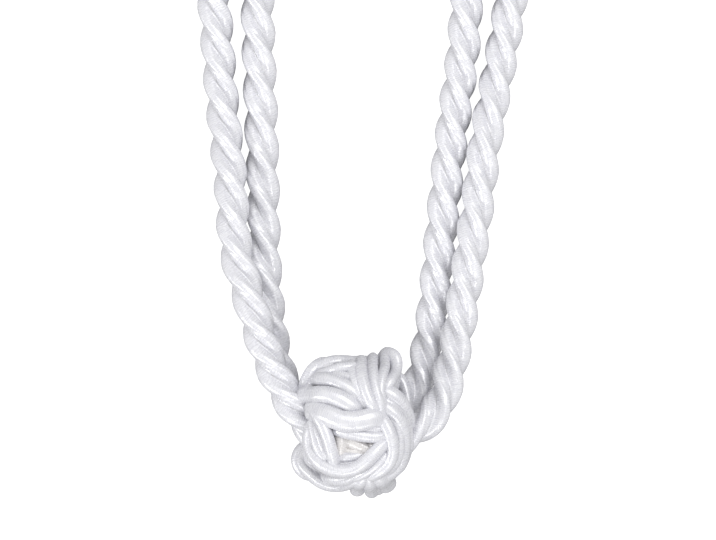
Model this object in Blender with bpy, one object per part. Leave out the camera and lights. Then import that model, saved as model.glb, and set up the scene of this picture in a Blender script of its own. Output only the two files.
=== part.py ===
"""A curtain tieback: a three-ply twisted rope, doubled into two long bights, with a ball knot.

The rope is one length. It leaves the knot on the left, turns back in an open loop that slips over
a hook, returns through the knot, makes the same loop on the right and ends inside the knot. The
ball knot is worked over the middle of the doubled rope from a thinner cord.

The tieback lies on a flat surface. Sizes are in millimetres and are scaled to metres by MM.
+Z is up from the surface, +Y runs from the knot along the two bights, and the origin is the
middle of the flat spot under the knot.
"""

import math

import bmesh
import bpy
import numpy as np
from mathutils import Vector

MM = 0.001

# ---------------------------------------------------------------- rope sizes

ROPE_DIAMETER = 12.0
ROPE_RADIUS = ROPE_DIAMETER / 2.0
LAY_LENGTH = 37.2            # length of rope in which a ply goes round once
PLIES = 3
ROPE_STEPS_PER_LAY = 10
GROOVE_SHARE = 0.42          # depth to which the soft plies leave a groove, as a share of radius
ROPE_SETTLE = 0.3            # the rope's weight flattens it this much on the surface
ROPE_REST = ROPE_RADIUS - ROPE_SETTLE
JOIN_GAP = 0.6               # the two cut ends meet inside the knot

# ---------------------------------------------------------------- route of the rope

# Points on the rope's middle line, in millimetres: x, y, height. The outer runs lie nearer the
# eye and climb onto the inner ones where the pairs draw together above the knot.
JOIN = (0.3, -9.6, 20.4)
LEFT_OUTER = (
    (-10.5, -6.5, 20.6), (-22.0, 5.1, 20.4), (-30.2, 20.6, 18.6), (-37.7, 43.6, 16.7),
    (-41.2, 55.6, 14.4), (-43.6, 79.6, 11.4), (-46.3, 105.3, 6.6), (-48.4, 131.0, ROPE_REST),
    (-54.5, 186.0, ROPE_REST), (-64.5, 232.0, ROPE_REST),
)
LEFT_INNER = (
    (-25.5, 232.0, ROPE_REST), (-34.0, 170.0, ROPE_REST), (-32.9, 89.9, ROPE_REST),
    (-28.8, 24.7, 6.0), (-25.0, 12.6, 6.6), (-11.0, 1.6, 10.4),
)
THROUGH = ((0.0, 0.8, 11.4),)
RIGHT_INNER = (
    (10.4, 2.6, 11.0), (20.0, 11.2, 8.7), (22.2, 17.4, 7.4), (27.4, 52.1, ROPE_REST),
    (33.8, 110.4, ROPE_REST), (35.7, 124.2, ROPE_REST), (36.5, 180.0, ROPE_REST),
    (30.5, 232.0, ROPE_REST),
)
RIGHT_OUTER = (
    (69.5, 232.0, ROPE_REST), (57.5, 178.0, ROPE_REST), (51.3, 137.0, ROPE_REST),
    (46.5, 111.5, 7.2), (44.2, 99.2, 9.9), (41.0, 74.5, 10.8), (39.2, 62.4, 12.4),
    (30.8, 14.4, 16.4), (26.2, 3.2, 19.2), (18.5, -3.4, 20.6), (10.0, -8.0, 20.5),
)
LOOP_RADIUS = 22.0
LEFT_LOOP = (-45.0, 252.0)
RIGHT_LOOP = (50.0, 252.0)
LOOP_POINTS = 7

# A groove between two plies crosses the rope's outline here: x, y of the middle line and the
# side it shows on, -1 for -X and +1 for +X.
GROOVES = (
    (-49.0, 136.5, -1), (-45.4, 98.4, -1), (-41.8, 61.4, -1), (-35.2, 34.6, -1),
    (-31.6, 46.0, 1), (-32.4, 72.7, 1), (-33.3, 100.5, 1), (-33.6, 127.3, 1),
    (24.7, 30.5, -1), (27.8, 55.2, -1), (31.9, 93.3, -1), (36.2, 129.3, -1),
    (51.8, 139.6, 1), (45.3, 104.6, 1), (39.8, 66.5, 1), (34.1, 29.5, 1),
)

# ---------------------------------------------------------------- ball knot sizes

CORD_THICKNESS = 4.6                     # of a cord pressed flat on the ball
CORD_SIDES = 10
CORD_STEP = 2.6
BALL_HEIGHT = 20.5                       # of the ball's middle above the surface
BALL_REACH = (17.6, 21.0, 17.0)          # from the middle to the cords' middle lines
BALL_FULLNESS = 2.6                      # 2 would be an ellipsoid, and more is squarer
HEART_INSET = 3.4                        # the packed middle of the knot starts this far inside
HEART_RINGS = 8
HEART_SIDES = 12
TUCK_ALONG = 3.0                         # a cord's end runs on this far
TUCK_IN = 6.0                            # and dives this far into the ball
HELD_FACING = 0.6                        # how far a cord keeps facing as it did a step before
TUNNEL_CLEARANCE = 0.45                  # round the rope where it passes through
TUNNEL_SIDES = 12
TUNNEL_STEP = 4.0

# Each cord that shows: its width, and points x, y on its middle line with its lift above the
# ball's dome.
FRONT_CORDS = {
    "upper_arc": (5.2, ((-17.2, 14.7, -2), (-15.5, 17.3, -1.4), (-12.3, 19.4, -0.8),
        (-8.4, 20.7, -0.4), (-4.5, 20.8, -0.4), (-1.3, 20.3, -4.4), (1.0, 19.2, -7))),
    "left_wrap": (3.6, ((-18.3, 11.1, -0.6), (-17.5, 14.5, 0.4), (-15.9, 17.3, 0.6),
        (-13.8, 19.4, -0.6), (-11.4, 20.3, -2.5))),
    "upper_under": (4.0, ((-12.7, 15.8, -1.6), (-9.7, 17.3, 0), (-6.7, 18.3, 0.6),
        (-3.7, 18.8, 0.4), (-0.7, 18.6, -1.2))),
    "second_row": (5.0, ((-18.3, 11.5, -1.4), (-15.7, 13.8, 0), (-12.3, 15.0, 0.4),
        (-8.4, 14.4, 0.4), (-4.5, 12.7, 0), (-1.1, 10.2, -0.8), (1.2, 7.2, -2.4))),
    "mid_under": (3.6, ((-8.0, 15.8, -1.8), (-5.0, 15.7, -1.2), (-2.0, 14.7, -1.4),
        (0.2, 12.3, -2.4))),
    "third_row": (6.0, ((-18.9, 8.9, 0.4), (-16.1, 9.6, 1.4), (-12.7, 9.9, 1.6), (-9.3, 9.5, 1.5),
        (-5.8, 8.2, 1.1), (-2.8, 6.3, 0.2), (0.0, 4.2, -1.8))),
    "row_sliver": (3.4, ((-14.0, 7.0, -1.6), (-10.1, 6.3, -0.9), (-6.3, 5.1, -0.9),
        (-2.4, 4.1, -1.4), (0.6, 3.8, -2.6))),
    "broad_row": (7.2, ((-15.9, 4.2, -1.4), (-13.1, 3.8, 0.8), (-9.7, 2.4, 1.9), (-6.3, 1.1, 2.0),
        (-2.8, 0.6, 2.0), (1.0, 1.0, 1.9), (4.9, 1.9, 1.2), (8.1, 2.1, -1.6))),
    "row_under": (3.6, ((-1.5, -1.0, -1.8), (2.7, -1.7, -1.2), (6.6, -1.8, -1.4),
        (9.6, -1.4, -2.6))),
    "lower_row": (4.4, ((-6.7, -2.4, -1.6), (-2.4, -3.4, -0.5), (1.9, -4.2, -0.2),
        (5.7, -4.5, -0.4), (9.6, -3.9, -2.0))),
    "left_inner": (4.4, ((-15.9, 5.5, -1.5), (-14.4, 3.3, 0.9), (-12.5, 0.3, 1.6),
        (-10.8, -3.5, 1.4), (-9.6, -7.4, 1.0), (-8.7, -10.8, 0.4), (-7.5, -14.2, -2.2))),
    "left_under": (4.0, ((-15.0, 0.3, -1.2), (-14.5, -3.9, -0.4), (-13.5, -7.8, -0.4),
        (-11.6, -11.0, -0.8), (-8.8, -13.8, -2.4))),
    "left_fold": (3.0, ((-13.5, -1.4, -1.0), (-12.4, -5.2, -0.7), (-11.1, -8.7, -0.8),
        (-9.6, -11.7, -1.8))),
    "ring": (4.9, ((-15.0, -0.5, -1.8), (-16.5, -3.5, 1.2), (-16.6, -7.4, 2.4),
        (-15.2, -11.2, 2.6), (-12.0, -14.4, 2.3), (-8.0, -16.0, 2.0), (-3.7, -16.2, 1.7),
        (0.4, -14.7, 1.3), (4.0, -11.7, 1.0), (7.2, -8.4, 0.3), (10.0, -5.2, -2.2))),
    "ring_outer": (4.2, ((-1.3, -18.1, -1.8), (2.3, -16.7, -0.6), (5.7, -14.4, -0.6),
        (8.5, -11.7, -0.8), (10.9, -8.2, -2.0))),
    "right_outer": (5.4, ((8.5, 11.5, -1.4), (11.5, 10.0, 0.4), (14.5, 7.4, 0.9), (16.5, 3.8, 0.7),
        (17.5, -0.5, 0.0), (17.5, -4.8, -0.8), (16.2, -9.1, -2.4))),
    "right_under": (4.0, ((9.6, 7.2, -1.5), (13.0, 4.2, -1.2), (15.8, 0.3, -1.2),
        (16.7, -4.4, -1.4), (16.2, -9.1, -2.0))),
    "right_middle": (5.0, ((8.5, 6.3, -1.8), (11.7, 3.9, 0.2), (14.5, 0.3, 0.7), (15.7, -4.4, 0.6),
        (15.5, -9.9, 0.2), (13.8, -14.7, 0.0), (10.9, -17.3, -0.4), (7.2, -18.7, -2.2))),
    "right_inner": (4.6, ((8.1, 1.6, -1.2), (10.1, -1.8, 1.1), (11.6, -6.3, 1.7),
        (11.7, -10.4, 1.6), (10.2, -14.0, 1.2), (7.2, -16.5, 0.6), (3.6, -17.9, -1.6))),
    "top_0": (4.2, ((-2.2, 19.4, -1.8), (-1.8, 17.1, -0.8), (-1.0, 13.6, -0.4), (0.4, 10.0, -0.4),
        (2.5, 6.8, -1.0), (4.9, 3.8, -2.6))),
    "top_1": (4.3, ((1.1, 20.7, -1.2), (1.2, 18.8, 0.9), (1.5, 15.8, 1.4), (2.4, 11.7, 1.7),
        (4.0, 7.6, 1.4), (6.2, 3.3, -1.8))),
    "top_2": (3.9, ((4.7, 21.1, -1.0), (4.9, 19.2, 0.9), (5.2, 16.0, 1.4), (5.8, 12.1, 1.6),
        (6.9, 8.1, 1.3), (7.9, 3.3, -1.8))),
    "top_3": (3.7, ((9.4, 23.7, -0.5), (9.2, 21.4, 3.6), (9.0, 18.8, 2.2), (8.1, 15.6, 1.8),
        (7.5, 11.9, 1.2), (7.8, 8.1, 0.2), (8.4, 4.2, -2.0))),
    "top_4": (4.0, ((9.0, 23.1, -2.0), (10.8, 23.5, 2.6), (12.5, 22.4, 4.6), (13.1, 19.7, 5.4),
        (12.3, 16.4, 2.2), (10.4, 13.5, 1.0), (8.6, 10.6, -1.6))),
    "left_bight": (4.2, ((-17.4, -7.8, -3.4), (-19.6, -9.7, -2.6), (-20.7, -12.5, -2.2),
        (-19.9, -15.5, -1.8), (-17.2, -17.7, -2.4))),
    "lower_ring": (4.8, ((-19.1, -13.8, -1.2), (-16.8, -17.0, 0.6), (-13.8, -19.6, 1.6),
        (-10.3, -21.2, 1.9), (-6.7, -21.5, 1.6), (-3.3, -20.5, 0.6), (0.0, -18.3, -1.8))),
    "bottom_0": (5.2, ((2.7, -17.0, -2.0), (1.2, -19.4, 0.4), (0.1, -21.5, 0.4),
        (-0.3, -23.1, -5.0))),
    "bottom_1": (5.0, ((3.4, -17.0, -2.0), (3.9, -19.8, 0.8), (4.5, -22.3, 0.8),
        (4.7, -23.6, -5.0))),
    "bottom_2": (6.6, ((4.5, -17.0, -2.4), (7.1, -18.9, 0.2), (9.1, -20.6, 0.6),
        (10.2, -21.6, -5.0))),
    "bottom_3": (4.0, ((4.0, -17.7, -2.6), (5.3, -20.2, -1.4), (6.4, -22.0, -1.4),
        (6.9, -22.7, -5.0))),
    "deep_upper": (4.8, ((-5.8, -4.4, -4.4), (-2.0, -6.5, -3.4), (1.9, -8.2, -3.4),
        (5.7, -10.2, -4.6))),
    "deep_lower": (3.6, ((-8.2, -11.4, -4.0), (-5.4, -11.4, -2.8), (-2.4, -11.2, -2.8),
        (1.0, -10.4, -4.0))),
    "ring_under": (5.0, ((-17.6, -11.9, -2.4), (-15.6, -15.3, -1.2), (-12.3, -18.0, -0.8),
        (-8.2, -19.2, -0.8), (-4.1, -19.0, -1.2), (-0.7, -17.2, -2.4))),
    "right_fill": (4.2, ((9.6, 3.8, -1.8), (12.5, -0.1, -0.9), (13.8, -4.8, -0.7),
        (13.7, -9.5, -0.7), (12.0, -13.8, -1.2), (9.6, -15.9, -2.4))),
    "deep_post": (4.4, ((-6.2, -2.4, -4.0), (-5.8, -5.7, -3.2), (-5.9, -9.1, -3.3),
        (-6.3, -12.5, -4.4))),
    "deep_middle": (4.4, ((-4.5, -9.3, -4.8), (-0.7, -9.6, -4.0), (3.2, -8.2, -4.0),
        (7.0, -6.5, -4.6))),
    "deep_base": (4.4, ((-9.3, -13.8, -3.6), (-5.4, -14.1, -2.8), (-1.5, -13.6, -2.8),
        (2.7, -11.7, -4.0))),
}

# The cords on the underside, the same way, with the lift below the dome.
BACK_CORDS = {
    "back_middle": (6.0, ((-14.5, 4.5, 0.5), (-7.0, 1.5, 1.5), (0.0, 0.0, 1.5), (7.0, -1.5, 1.5),
        (14.5, -4.5, 0.5))),
    "back_upper": (6.0, ((-14.5, 11.0, 0), (-7.0, 8.0, 1), (0.0, 6.0, 1.2), (7.0, 4.5, 1),
        (14.5, 2.0, 0))),
    "back_lower": (6.0, ((-14.5, -2.0, 0), (-7.0, -4.5, 1), (0.0, -6.0, 1.2), (7.0, -7.5, 1),
        (14.0, -11.0, 0))),
    "back_top": (6.0, ((-11.5, 17.0, 0), (-5.0, 14.5, 1), (1.0, 12.2, 1), (7.0, 11.0, 0.8),
        (14.0, 8.5, 0))),
    "back_bottom": (6.0, ((-14.0, -8.5, 0), (-7.0, -11.0, 0.8), (-0.5, -12.4, 1),
        (6.0, -14.0, 0.8), (11.0, -17.0, 0))),
    "back_left": (5.8, ((-16.4, 12.0, 0), (-17.2, 5.0, 0), (-17.4, -2.0, 0), (-16.6, -10.0, 0),
        (-12.0, -17.5, 0))),
    "back_right": (5.8, ((13.4, 15.0, 0), (16.6, 7.5, 0), (17.2, 0.0, 0), (16.6, -8.0, 0),
        (12.5, -16.0, 0))),
    "back_crown": (5.8, ((-10.0, 19.0, 0), (-3.0, 20.4, 0), (4.0, 20.4, 0), (10.5, 18.0, 0))),
    "back_foot": (5.8, ((-10.0, -18.6, 0), (-3.0, -19.6, 0), (4.0, -19.6, 0), (10.0, -18.0, 0))),
}

KEPT_FACES = 0.53                        # share of the knot's faces that its form needs
FLOOR_BLOCK = (90.0, 90.0, 30.0)

SATIN_WHITE = (0.74, 0.74, 0.77, 1.0)
SATIN_ROUGHNESS = 0.38


# ---------------------------------------------------------------- curves

def smooth_curve(points, step):
    """Evenly spaced points on a natural cubic spline through the given points."""
    knots = np.array(points, dtype=float)
    count = len(knots)
    spans = np.linalg.norm(np.diff(knots, axis=0), axis=1)
    at = np.concatenate(([0.0], np.cumsum(spans)))
    system = np.eye(count)
    target = np.zeros_like(knots)
    for i in range(1, count - 1):
        before, after = spans[i - 1], spans[i]
        system[i, i - 1:i + 2] = (before, 2.0 * (before + after), after)
        change = (knots[i + 1] - knots[i]) / after - (knots[i] - knots[i - 1]) / before
        target[i] = 6.0 * change
    bend = np.linalg.solve(system, target)

    along = np.linspace(0.0, at[-1], 24 * count)
    span = np.clip(np.searchsorted(at, along, side="right") - 1, 0, count - 2)
    width = spans[span]
    start = ((at[span + 1] - along) / width)[:, None]
    end = ((along - at[span]) / width)[:, None]
    fine = start * knots[span] + end * knots[span + 1]
    pull = (start ** 3 - start) * bend[span] + (end ** 3 - end) * bend[span + 1]
    fine += pull * (width ** 2)[:, None] / 6.0

    walked = np.concatenate(([0.0], np.cumsum(np.linalg.norm(np.diff(fine, axis=0), axis=1))))
    stops = np.linspace(0.0, walked[-1], max(2, round(walked[-1] / step) + 1))
    return np.stack([np.interp(stops, walked, fine[:, axis]) for axis in range(3)], axis=1)


def carried_frames(line):
    """Tangent, normal and side vectors that turn along the line without twisting round it."""
    tangents = np.gradient(line, axis=0)
    tangents /= np.linalg.norm(tangents, axis=1)[:, None]
    normals = np.zeros_like(line)
    normal = np.cross(tangents[0], (0.0, 0.0, 1.0))
    for i, tangent in enumerate(tangents):
        normal = normal - tangent * np.dot(normal, tangent)
        normal /= np.linalg.norm(normal)
        normals[i] = normal
    return tangents, normals, np.cross(tangents, normals)


# ---------------------------------------------------------------- meshes

def tube_rings(line, sections, turns):
    """Rings of points round the line; sections holds radius and angle, turns an angle a ring."""
    _, normals, sides = carried_frames(line)
    radii = np.array([radius for radius, _ in sections])
    angles = np.array([angle for _, angle in sections])
    rings = []
    for point, normal, side, turn in zip(line, normals, sides, turns):
        across = radii * np.cos(angles + turn)
        up = radii * np.sin(angles + turn)
        rings.append(point + across[:, None] * normal + up[:, None] * side)
    return np.array(rings)


def closed_tube(name, rings):
    """A mesh object through the rings, closed at both ends by a fan of triangles."""
    count, sides = rings.shape[:2]
    mesh = bmesh.new()
    grid = [[mesh.verts.new(Vector(point) * MM) for point in ring] for ring in rings]
    for lower, upper in zip(grid, grid[1:]):
        for j in range(sides):
            k = (j + 1) % sides
            mesh.faces.new((lower[j], lower[k], upper[k], upper[j]))
    for ring in (grid[0], grid[-1]):
        middle = mesh.verts.new(sum((vert.co for vert in ring), Vector()) / sides)
        for j in range(sides):
            mesh.faces.new((ring[j], ring[(j + 1) % sides], middle))
    bmesh.ops.recalc_face_normals(mesh, faces=mesh.faces)
    return mesh_object(name, mesh)


def mesh_object(name, mesh):
    data = bpy.data.meshes.new(name)
    mesh.to_mesh(data)
    mesh.free()
    data.shade_smooth()
    thing = bpy.data.objects.new(name, data)
    bpy.context.scene.collection.objects.link(thing)
    return thing


def satin(name):
    material = bpy.data.materials.new(name)
    material.use_nodes = True
    shader = material.node_tree.nodes["Principled BSDF"]
    shader.inputs["Base Color"].default_value = SATIN_WHITE
    shader.inputs["Roughness"].default_value = SATIN_ROUGHNESS
    shader.inputs["Metallic"].default_value = 0.0
    material.diffuse_color = SATIN_WHITE
    return material


# ---------------------------------------------------------------- the rope

def loop_arc(centre):
    """The half circle of a hook loop, from its left side over its far side to its right."""
    points = []
    for i in range(LOOP_POINTS):
        angle = math.pi * (1.0 - i / (LOOP_POINTS - 1))
        x = centre[0] + LOOP_RADIUS * math.cos(angle)
        y = centre[1] + LOOP_RADIUS * math.sin(angle)
        points.append((x, y, ROPE_REST))
    return points


def rope_route():
    return [JOIN, *LEFT_OUTER, *loop_arc(LEFT_LOOP), *LEFT_INNER, *THROUGH,
            *RIGHT_INNER, *loop_arc(RIGHT_LOOP), *RIGHT_OUTER, JOIN]


def ply_section():
    """Radius and angle of each point round the rope: four for each ply, groove to groove."""
    ply_radius = ROPE_RADIUS / (1.0 + 2.0 / math.sqrt(3.0))
    ply_centre = ROPE_RADIUS - ply_radius
    shoulder = math.radians(34.0)
    across = ply_centre * math.sin(shoulder)
    shoulder_radius = ply_centre * math.cos(shoulder) + math.sqrt(ply_radius ** 2 - across ** 2)
    section = []
    for ply in range(PLIES):
        middle = 2.0 * math.pi * ply / PLIES
        section.append((shoulder_radius, middle - shoulder))
        section.append((ROPE_RADIUS, middle))
        section.append((shoulder_radius, middle + shoulder))
        section.append((GROOVE_SHARE * ROPE_RADIUS, middle + math.pi / PLIES))
    return section


def ply_turns(line):
    """The rope's twist at each point, left-handed, with its grooves where GROOVES puts them."""
    _, normals, sides = carried_frames(line)
    length_at = np.concatenate(([0.0], np.cumsum(np.linalg.norm(np.diff(line, axis=0), axis=1))))
    rate = -2.0 * math.pi / LAY_LENGTH
    pitch = 2.0 * math.pi / PLIES
    marks = []
    for x, y, way in GROOVES:
        i = int(np.argmin((line[:, 0] - x) ** 2 + (line[:, 1] - y) ** 2))
        facing = math.atan2(way * sides[i][0], way * normals[i][0])
        marks.append((length_at[i], facing - math.pi / PLIES))
    marks.sort()
    lengths, turns = [marks[0][0]], [marks[0][1]]
    for length, turn in marks[1:]:
        expected = turns[-1] + rate * (length - lengths[-1])
        turns.append(turn + pitch * round((expected - turn) / pitch))
        lengths.append(length)
    turns.insert(0, turns[0] - rate * lengths[0])
    lengths.insert(0, 0.0)
    turns.append(turns[-1] + rate * (length_at[-1] - lengths[-1]))
    lengths.append(length_at[-1])
    return np.interp(length_at, lengths, turns)


def make_rope():
    line = smooth_curve(rope_route(), LAY_LENGTH / ROPE_STEPS_PER_LAY)
    for end, neighbour in ((0, 1), (-1, -2)):
        away = line[neighbour] - line[end]
        line[end] += away / np.linalg.norm(away) * JOIN_GAP / 2.0
    rings = tube_rings(line, ply_section(), ply_turns(line))
    rings[:, :, 2] = np.maximum(rings[:, :, 2], 0.0)
    rope = closed_tube("rope", rings)
    rope.data.materials.append(satin("satin rope"))
    return rope


# ---------------------------------------------------------------- the ball knot

def dome_height(x, y):
    """Height of the ball's dome over or under its middle at this place."""
    share = abs(x / BALL_REACH[0]) ** BALL_FULLNESS + abs(y / BALL_REACH[1]) ** BALL_FULLNESS
    return BALL_REACH[2] * max(0.0, 1.0 - share) ** (1.0 / BALL_FULLNESS)


def tucked_end(end, before):
    """The end runs on a little and dives into the ball."""
    onward = (end - before).normalized()
    inward = (Vector((0.0, 0.0, BALL_HEIGHT)) - end).normalized()
    return end + onward * TUCK_ALONG + inward * TUCK_IN


def cord_line(points, face):
    """The middle line of a cord on the dome, face +1 for the front and -1 for the underside."""
    route = []
    for x, y, lift in points:
        height = BALL_HEIGHT + face * (dome_height(x, y) + lift)
        route.append(Vector((x, y, height)))
    first = tucked_end(route[0], route[1])
    last = tucked_end(route[-1], route[-2])
    return smooth_curve([first, *route, last], CORD_STEP)


def ball_frames(line):
    """Outward and sideways vectors along a cord, so that it can be pressed flat on the ball."""
    tangents = np.gradient(line, axis=0)
    tangents /= np.linalg.norm(tangents, axis=1)[:, None]
    away = (line - (0.0, 0.0, BALL_HEIGHT)) / np.array(BALL_REACH) ** 2
    away /= np.linalg.norm(away, axis=1)[:, None]
    middle = len(line) // 2
    outward = np.zeros_like(line)
    for stops in (range(middle, len(line)), range(middle, -1, -1)):
        held = away[middle]
        for i in stops:
            held = away[i] + HELD_FACING * held
            held = held - tangents[i] * np.dot(held, tangents[i])
            held /= np.linalg.norm(held)
            outward[i] = held
    return outward, np.cross(tangents, outward)


def make_cord(name, width, line):
    outward, sideways = ball_frames(line)
    rings = []
    for point, out, side in zip(line, outward, sideways):
        ring = []
        for j in range(CORD_SIDES):
            angle = 2.0 * math.pi * j / CORD_SIDES
            flat = width / 2.0 * math.cos(angle)
            deep = CORD_THICKNESS / 2.0 * math.sin(angle)
            ring.append(point + flat * side + deep * out)
        rings.append(ring)
    return closed_tube(name, np.array(rings))


def make_heart():
    """The packed middle of the knot that its cords close over."""
    mesh = bmesh.new()
    bmesh.ops.create_uvsphere(mesh, u_segments=HEART_SIDES, v_segments=HEART_RINGS, radius=1.0)
    for vert in mesh.verts:
        x, y, z = (vert.co[axis] * (BALL_REACH[axis] - HEART_INSET) for axis in range(3))
        vert.co = Vector((x, y, z + BALL_HEIGHT)) * MM
    return mesh_object("heart", mesh)


def make_tunnel(name, route):
    inner_radius = ROPE_RADIUS + TUNNEL_CLEARANCE
    radius = inner_radius / math.cos(math.pi / TUNNEL_SIDES)
    section = [(radius, 2.0 * math.pi * i / TUNNEL_SIDES) for i in range(TUNNEL_SIDES)]
    line = smooth_curve(route, TUNNEL_STEP)
    turns = np.zeros(len(line))
    return closed_tube(name, tube_rings(line, section, turns))


def make_floor_block():
    mesh = bmesh.new()
    bmesh.ops.create_cube(mesh, size=1.0)
    width, depth, height = FLOOR_BLOCK
    for vert in mesh.verts:
        x, y, z = vert.co
        vert.co = Vector((x * width, y * depth, (z - 0.5) * height)) * MM
    return mesh_object("floor_block", mesh)


def keep_result(body):
    """Turn the body's modifiers into its own mesh."""
    bpy.context.view_layer.update()
    graph = bpy.context.evaluated_depsgraph_get()
    result = bpy.data.meshes.new_from_object(body.evaluated_get(graph))
    body.modifiers.clear()
    body.data = result


def combine(body, tool, operation):
    """Join the tool to the body or cut it away, and remove the tool.

    So many cords graze each other here that the exact solver loses the body, and both meshes are
    always closed, so the manifold solver does it.
    """
    modifier = body.modifiers.new(operation, "BOOLEAN")
    modifier.operation = operation
    modifier.solver = "MANIFOLD"
    modifier.object = tool
    keep_result(body)
    bpy.data.objects.remove(tool, do_unlink=True)


def tidy_body(body):
    """Keep the one outer body, so that no closed pocket stays inside, and thin its faces."""
    mesh = bmesh.new()
    mesh.from_mesh(body.data)
    bmesh.ops.triangulate(mesh, faces=mesh.faces)
    unseen = set(mesh.faces)
    pieces = []
    while unseen:
        piece = [unseen.pop()]
        for face in piece:
            for edge in face.edges:
                for other in edge.link_faces:
                    if other in unseen:
                        unseen.remove(other)
                        piece.append(other)
        pieces.append(piece)
    pieces.sort(key=len)
    for piece in pieces[:-1]:
        bmesh.ops.delete(mesh, geom=piece, context="FACES")
    pinched = [edge for edge in mesh.edges if len(edge.link_faces) > 2]
    bmesh.ops.collapse(mesh, edges=pinched)
    bmesh.ops.recalc_face_normals(mesh, faces=mesh.faces)
    mesh.to_mesh(body.data)
    mesh.free()
    thin = body.modifiers.new("fewer faces", "DECIMATE")
    thin.ratio = KEPT_FACES
    keep_result(body)
    for vert in body.data.vertices:
        vert.co.z = max(vert.co.z, 0.0)


def make_knot():
    knot = make_heart()
    knot.name = "knot"
    for face, cords in ((-1, BACK_CORDS), (1, FRONT_CORDS)):
        for name, (width, points) in cords.items():
            combine(knot, make_cord(name, width, cord_line(points, face)), "UNION")
    outer = [*reversed(LEFT_OUTER[:4]), JOIN, *reversed(RIGHT_OUTER[-5:])]
    inner = [*LEFT_INNER[-4:], *THROUGH, *RIGHT_INNER[:4]]
    combine(knot, make_tunnel("outer_tunnel", outer), "DIFFERENCE")
    combine(knot, make_tunnel("inner_tunnel", inner), "DIFFERENCE")
    combine(knot, make_floor_block(), "DIFFERENCE")
    tidy_body(knot)
    knot.data.materials.clear()
    knot.data.materials.append(satin("satin cord"))
    knot.data.shade_smooth()
    return knot


def clear_scene():
    for thing in list(bpy.data.objects):
        bpy.data.objects.remove(thing, do_unlink=True)


clear_scene()
make_rope()
make_knot()
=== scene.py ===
# %% [markdown]
# # A satin tieback rope with a ball knot
#
# The real object is a length of white satin rope, doubled so that four runs leave the knot, and
# a ball knot worked over its middle from a thinner cord wound with shiny thread. It lies flat
# on a pale surface and is seen from straight above.
#
# Everything here is built in millimetres and scaled to Blender's metres by `MM`. The packed
# model is the frame: its two solids, `rope` and `knot`, say where each piece lies, and the
# pieces below take their place with the twist, the windings and the sheen of the real thing.

# %% The frame
import math

import bmesh
import bpy
import numpy as np
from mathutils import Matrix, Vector


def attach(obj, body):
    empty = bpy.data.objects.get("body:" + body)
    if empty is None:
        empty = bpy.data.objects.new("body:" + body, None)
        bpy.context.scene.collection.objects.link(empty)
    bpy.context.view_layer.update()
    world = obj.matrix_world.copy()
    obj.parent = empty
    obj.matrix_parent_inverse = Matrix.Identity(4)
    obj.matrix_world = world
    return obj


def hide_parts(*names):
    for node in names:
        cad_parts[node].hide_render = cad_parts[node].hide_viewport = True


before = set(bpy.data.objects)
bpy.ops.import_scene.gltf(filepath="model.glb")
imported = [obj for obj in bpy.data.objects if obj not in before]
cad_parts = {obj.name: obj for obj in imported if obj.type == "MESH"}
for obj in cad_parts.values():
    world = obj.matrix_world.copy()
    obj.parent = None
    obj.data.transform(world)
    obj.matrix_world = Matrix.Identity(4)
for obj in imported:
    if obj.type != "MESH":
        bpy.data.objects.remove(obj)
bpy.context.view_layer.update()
MM = 0.001

# %% [markdown]
# ## Camera
#
# The photograph was taken from straight above, from far enough away that near and far runs
# look equally thick. A long lens does the same. Its distance follows from the width that
# the frame shows at the height of the rope: 716 pixels of 0.343 mm.

# %% Camera
PIXELS_ACROSS = 716
PIXELS_DOWN = 540
PIXEL = 0.343                              # millimetres of the scene that a pixel covers
ORIGIN_PIXEL = (358.0, 422.0)              # where the knot's middle lies in the frame
LENS = 400.0
SENSOR = 36.0
ROPE_LEVEL = 12.0                          # height over the paper at which a pixel is PIXEL wide

camera_data = bpy.data.cameras.new("camera")
camera_data.lens = LENS
camera_data.sensor_width = SENSOR
camera = bpy.data.objects.new("camera", camera_data)
bpy.context.scene.collection.objects.link(camera)
view_width = PIXELS_ACROSS * PIXEL
camera_height = view_width * LENS / SENSOR + ROPE_LEVEL
view_x = (PIXELS_ACROSS / 2 - ORIGIN_PIXEL[0]) * PIXEL
view_y = (ORIGIN_PIXEL[1] - PIXELS_DOWN / 2) * PIXEL
camera.location = Vector((view_x, view_y, camera_height)) * MM
bpy.context.scene.camera = camera
print("camera height in mm:", round(camera_height))

# %% [markdown]
# ## Light
#
# A broad key light stands at the upper right. A small low one at the left draws a bright line
# along each strand, which is what makes satin look like satin, and a weak one in front opens
# the shade under the knot. Plain white all round fills the rest.

# %% Light
AMBIENT = 0.78


def area_light(name, place, size, power):
    """A soft rectangular light at a place in metres, aimed at the middle of the view."""
    data = bpy.data.lights.new(name, "AREA")
    data.shape = "RECTANGLE"
    data.size, data.size_y = size
    data.energy = power
    lamp = bpy.data.objects.new(name, data)
    lamp.location = place
    aim = Vector((0.0, view_y * MM, 0.0)) - Vector(place)
    lamp.rotation_euler = aim.to_track_quat("-Z", "Y").to_euler()
    lamp.visible_camera = False
    bpy.context.scene.collection.objects.link(lamp)
    return lamp


def plain_world(strength):
    world = bpy.data.worlds.new("studio")
    world.use_nodes = True
    background = world.node_tree.nodes["Background"]
    background.inputs["Color"].default_value = (1.0, 1.0, 1.0, 1.0)
    background.inputs["Strength"].default_value = strength
    bpy.context.scene.world = world


area_light("key", (0.5, 0.6, 1.4), (0.9, 0.9), 9.5)
area_light("left", (-1.25, -0.45, 0.62), (0.15, 0.15), 6.0)
area_light("front", (0.0, -1.2, 0.9), (0.6, 0.3), 3.5)
plain_world(AMBIENT)
bpy.context.scene.view_settings.view_transform = "Standard"

# %% [markdown]
# ## Floor
#
# White satin on white paper only reads if the cloth is a little darker than the paper. So the
# paper is plain white to the camera and throws back less light than that, which keeps the
# undersides of the rope grey.

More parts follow.
